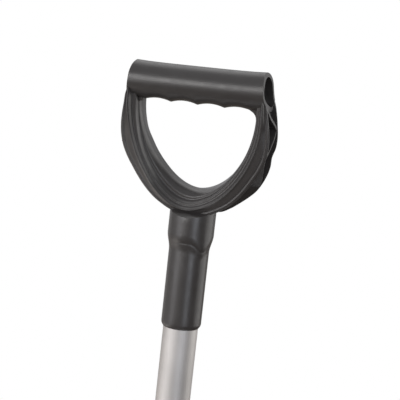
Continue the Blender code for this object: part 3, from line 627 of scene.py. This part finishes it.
def ramp(tree, source, stops):
    """The source's value turned into a colour through (place, colour) stops."""
    made = tree.nodes.new("ShaderNodeValToRGB")
    tree.links.new(source, made.inputs["Fac"])
    points = made.color_ramp.elements
    while len(points) < len(stops):
        points.new(0.5)
    for point, (place, colour) in zip(points, stops):
        point.position = place
        point.color = (*colour, 1.0)
    return made.outputs["Color"]


def grey(value):
    return (value, value, value)


def noise(tree, coords, scale, detail, roughness=0.55, stretch=None):
    source = coords
    if stretch:
        mapping = node(tree, "ShaderNodeMapping")
        mapping.inputs["Scale"].default_value = stretch
        tree.links.new(coords, mapping.inputs["Vector"])
        source = mapping.outputs["Vector"]
    made = node(tree, "ShaderNodeTexNoise", Scale=scale, Detail=detail, Roughness=roughness)
    tree.links.new(source, made.inputs["Vector"])
    return made.outputs["Fac"]


def bump(tree, height, strength, distance, normal=None):
    made = node(tree, "ShaderNodeBump", Strength=strength, Distance=distance)
    tree.links.new(height, made.inputs["Height"])
    if normal is not None:
        tree.links.new(normal, made.inputs["Normal"])
    return made.outputs["Normal"]


def object_coords(tree):
    return node(tree, "ShaderNodeTexCoord").outputs["Object"]


def plastic(name, dark, light, roughness):
    """Moulded plastic: faint flow marks, a fine grain and a few rubbed places."""
    made, tree, shader = new_material(name)
    coords = object_coords(tree)
    clouds = noise(tree, coords, 28.0, 5.0)
    tree.links.new(ramp(tree, clouds, ((0.30, dark), (0.72, light))), shader.inputs["Base Color"])
    rub = noise(tree, coords, 140.0, 6.0, 0.65)
    tree.links.new(ramp(tree, rub, ((0.35, grey(roughness - 0.04)), (0.70, grey(roughness + 0.06)))),
                   shader.inputs["Roughness"])
    shader.inputs["Specular IOR Level"].default_value = 0.5
    fine = bump(tree, noise(tree, coords, 2600.0, 2.0), 0.35, PLASTIC_GRAIN)
    coarse = bump(tree, noise(tree, coords, 240.0, 3.0), 0.20, PLASTIC_GRAIN * 4, fine)
    tree.links.new(coarse, shader.inputs["Normal"])
    return made


def satin_metal(name, dark, light, low, high, stretch, bump_size):
    """Drawn or plated metal; its roughness runs from low to high in streaks along the stretched way."""
    made, tree, shader = new_material(name)
    coords = object_coords(tree)
    streaks = noise(tree, coords, 900.0, 5.0, 0.6, stretch)
    clouds = noise(tree, coords, 22.0, 4.0)
    shader.inputs["Metallic"].default_value = 1.0
    tree.links.new(ramp(tree, clouds, ((0.3, dark), (0.7, light))), shader.inputs["Base Color"])
    tree.links.new(ramp(tree, streaks, ((0.3, grey(low)), (0.7, grey(high)))), shader.inputs["Roughness"])
    tree.links.new(bump(tree, streaks, 0.25, bump_size), shader.inputs["Normal"])
    return made


def painted(name, paint, worn_below):
    """Powder coat with an orange-peel skin, worn to bare steel towards the digging end."""
    made, tree, shader = new_material(name)
    coords = object_coords(tree)
    split = node(tree, "ShaderNodeSeparateXYZ")
    tree.links.new(coords, split.inputs["Vector"])
    reach = node(tree, "ShaderNodeMapRange", **{"From Min": worn_below, "From Max": 0.0})
    tree.links.new(split.outputs["Z"], reach.inputs["Value"])
    scuffs = noise(tree, coords, 60.0, 8.0, 0.7, (1.0, 1.0, 0.22))
    worn = multiply_add(tree, scuffs, 0.9, reach.outputs["Result"])
    wear = ramp(tree, worn, ((0.86, grey(0.0)), (0.98, grey(1.0))))
    steel = ramp(tree, scuffs, ((0.3, (0.30, 0.29, 0.28)), (0.7, (0.50, 0.49, 0.48))))
    coat = ramp(tree, noise(tree, coords, 18.0, 4.0), ((0.3, paint), (0.7, tuple(c * 1.5 for c in paint))))
    blend = node(tree, "ShaderNodeMix", data_type="RGBA")
    tree.links.new(wear, blend.inputs["Factor"])
    tree.links.new(coat, blend.inputs["A"])
    tree.links.new(steel, blend.inputs["B"])
    tree.links.new(blend.outputs["Result"], shader.inputs["Base Color"])
    tree.links.new(wear, shader.inputs["Metallic"])
    tree.links.new(ramp(tree, wear, ((0.0, grey(0.48)), (1.0, grey(0.34)))), shader.inputs["Roughness"])
    peel = bump(tree, noise(tree, coords, 700.0, 2.0), 0.30, PAINT_PEEL)
    tree.links.new(bump(tree, wear, 0.6, -PAINT_THICKNESS, peel), shader.inputs["Normal"])
    return made


ALL_WAYS = (1.0, 1.0, 1.0)
ALONG_TUBE = (1.0, 1.0, 0.02)
LOOKS = {
    "grip_plastic": plastic("slate_plastic", (0.027, 0.0245, 0.0235), (0.033, 0.0305, 0.0295), 0.34),
    "plug_plastic": plastic("black_plastic", (0.016, 0.016, 0.017), (0.024, 0.024, 0.025), 0.42),
    "nylon": plastic("nylon", (0.62, 0.60, 0.54), (0.70, 0.68, 0.62), 0.45),
    "tube_aluminium": satin_metal("satin_aluminium", (0.46, 0.447, 0.436), (0.52, 0.506, 0.495), 0.52, 0.60,
                                  ALONG_TUBE, 0.000004),
    "zinc_steel": satin_metal("zinc_plate", (0.50, 0.51, 0.53), (0.60, 0.61, 0.63), 0.26, 0.42, ALL_WAYS,
                              0.00001),
    "bronze": satin_metal("bronze", (0.42, 0.27, 0.12), (0.52, 0.35, 0.17), 0.30, 0.42, ALL_WAYS, 0.00001),
    "blade_steel": painted("blade_coat", (0.020, 0.021, 0.023), 0.150),
    "yoke_steel": painted("yoke_coat", (0.020, 0.021, 0.023), 0.030),
    "rivet_steel": painted("rivet_coat", (0.024, 0.025, 0.027), 0.060),
}


def dress(item, slot_name, body, stands_for, sharp_angle):
    """Gives a new piece its material and its body, and hides the CAD node that it stands for."""
    item.data.materials.clear()
    item.data.materials.append(LOOKS[slot_name])
    item.data.shade_smooth()
    item.data.set_sharp_from_angle(angle=math.radians(sharp_angle))
    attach(item, body)
    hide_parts(stands_for)


def dress_cad_nodes():
    for row in frame["record"]["subparts"]:
        for place in frame["nodes"][row["node"]].material_slots:
            place.material = LOOKS[row["material_slot"]]


# ---- stage, light and camera ----
FLOOR_RADIUS = 0.45
FLOOR_HEIGHT = -0.0005          # just clear of the blades' noses
FLOOR_GREY = 0.78
SKY = ((0.0, (0.13, 0.11, 0.095)), (0.36, (0.24, 0.21, 0.185)), (0.50, (0.56, 0.56, 0.57)),
       (0.70, (0.57, 0.57, 0.585)), (1.0, (0.66, 0.66, 0.68)))      # from straight down to straight up
BRIGHT_SIDE = -85.0             # azimuth of the studio's brighter side
SIDE_GAIN = 0.42                # how much brighter that side is, and how much darker the other

GRIP_CENTRE = Vector((0.155, 0.0, 1.20))
# name, azimuth, elevation, distance, spread in degrees across and up, radiance, colour
LIGHTS = (
    ("bar_light", -20, 10, 2.0, (26, 22), 6.0, (1.0, 0.985, 0.975)),
    ("left_box", -44, 4, 2.0, (28, 40), 2.2, (0.97, 0.965, 1.0)),
    ("right_box", 36, -2, 2.0, (22, 44), 3.3, (0.86, 0.91, 1.0)),
    ("rim_right", 120, 2, 2.0, (50, 60), 1.8, (1.0, 0.985, 0.97)),
    ("rim_top", 198, 62, 2.0, (90, 40), 1.1, (1.0, 0.99, 0.98)),
    ("low_left", -82, -34, 1.5, (50, 26), 1.8, (1.0, 0.95, 0.91)),
)

CAMERA_AZIMUTH = 18.0
CAMERA_ELEVATION = 4.84
CAMERA_DISTANCE = 0.800
CAMERA_TARGET = Vector((0.1571, 0.0, 1.1825))
CAMERA_LENS = 85.7
SENSOR_WIDTH = 36.0


def direction(azimuth, elevation):
    """A unit vector from angles in degrees. Azimuth 0 is the user's side and 90 is +X."""
    turn, rise = math.radians(azimuth), math.radians(elevation)
    return Vector((math.sin(turn) * math.cos(rise), -math.cos(turn) * math.cos(rise), math.sin(rise)))


def aim(item, target, away, distance):
    """Puts a lamp or a camera away from its target and turns it towards it."""
    item.location = target + away * distance
    item.rotation_mode = "QUATERNION"
    item.rotation_quaternion = (-away).to_track_quat("-Z", "Y")


def add_floor():
    mesh = bpy.data.meshes.new("floor")
    bm = bmesh.new()
    bmesh.ops.create_circle(bm, cap_ends=True, segments=96, radius=FLOOR_RADIUS)
    bm.to_mesh(mesh)
    bm.free()
    material, _, shader = new_material("pale_floor")
    shader.inputs["Base Color"].default_value = (*grey(FLOOR_GREY), 1.0)
    shader.inputs["Roughness"].default_value = 0.9
    mesh.materials.append(material)
    floor = add_object("floor", mesh)
    floor.location = (0, 0, FLOOR_HEIGHT)


def add_world():
    """White to the camera; to the object a studio that is bright above and darker below."""
    world = bpy.data.worlds.new("studio")
    bpy.context.scene.world = world
    world.use_nodes = True
    tree = world.node_tree
    tree.nodes.clear()
    way = node(tree, "ShaderNodeTexCoord").outputs["Generated"]
    split = node(tree, "ShaderNodeSeparateXYZ")
    tree.links.new(way, split.inputs["Vector"])
    height = multiply_add(tree, split.outputs["Z"], 0.5, 0.5)
    towards_bright = node(tree, "ShaderNodeVectorMath", operation="DOT_PRODUCT")
    tree.links.new(way, towards_bright.inputs[0])
    towards_bright.inputs[1].default_value = direction(BRIGHT_SIDE, 0.0)
    strength = multiply_add(tree, towards_bright.outputs["Value"], SIDE_GAIN, 1.0)
    studio = node(tree, "ShaderNodeBackground")
    tree.links.new(ramp(tree, height, SKY), studio.inputs["Color"])
    tree.links.new(strength, studio.inputs["Strength"])
    white = node(tree, "ShaderNodeBackground", Color=(1, 1, 1, 1), Strength=1.0)
    pick = node(tree, "ShaderNodeMixShader")
    tree.links.new(node(tree, "ShaderNodeLightPath").outputs["Is Camera Ray"], pick.inputs["Fac"])
    tree.links.new(studio.outputs["Background"], pick.inputs[1])
    tree.links.new(white.outputs["Background"], pick.inputs[2])
    tree.links.new(pick.outputs["Shader"], node(tree, "ShaderNodeOutputWorld").inputs["Surface"])


def add_light(name, azimuth, elevation, distance, spread, radiance, colour):
    """A soft box round the grip, unseen by the camera."""
    lamp = bpy.data.lights.new(name, "AREA")
    lamp.shape = "RECTANGLE"
    wide, tall = (2 * distance * math.tan(math.radians(angle) / 2) for angle in spread)
    lamp.size, lamp.size_y = wide, tall
    lamp.energy = radiance * math.pi * wide * tall
    lamp.color = colour
    item = add_object(name, lamp)
    item.visible_camera = False
    aim(item, GRIP_CENTRE, direction(azimuth, elevation), distance)


def add_camera():
    data = bpy.data.cameras.new("camera")
    data.lens = CAMERA_LENS
    data.sensor_width = SENSOR_WIDTH
    data.clip_start = 0.05
    item = add_object("camera", data)
    aim(item, CAMERA_TARGET, direction(CAMERA_AZIMUTH, CAMERA_ELEVATION), CAMERA_DISTANCE)
    bpy.context.scene.camera = item


# ---- assembly ----
def add_grips():
    mesh = grip_mesh()
    for name, side in SIDES:
        skin = mesh if side < 0 else mesh.copy()
        skin.transform(grip_frame(side))
        item = add_object("grip_skin_" + name, skin)
        dress(item, "grip_plastic", name + "_half", "grip_" + name, 40)
        even = item.modifiers.new("flat_faces_lead", "WEIGHTED_NORMAL")
        even.keep_sharp = True


def add_tubes():
    for name, side in SIDES:
        item = tube_mesh(side)
        item.name = "tube_skin_" + name
        dress(item, "tube_aluminium", name + "_half", "handle_tube_" + name, 35)


def main():
    dress_cad_nodes()
    add_grips()
    add_tubes()
    add_floor()
    add_world()
    for light in LIGHTS:
        add_light(*light)
    add_camera()
    bpy.context.scene.view_settings.view_transform = "Standard"


main()
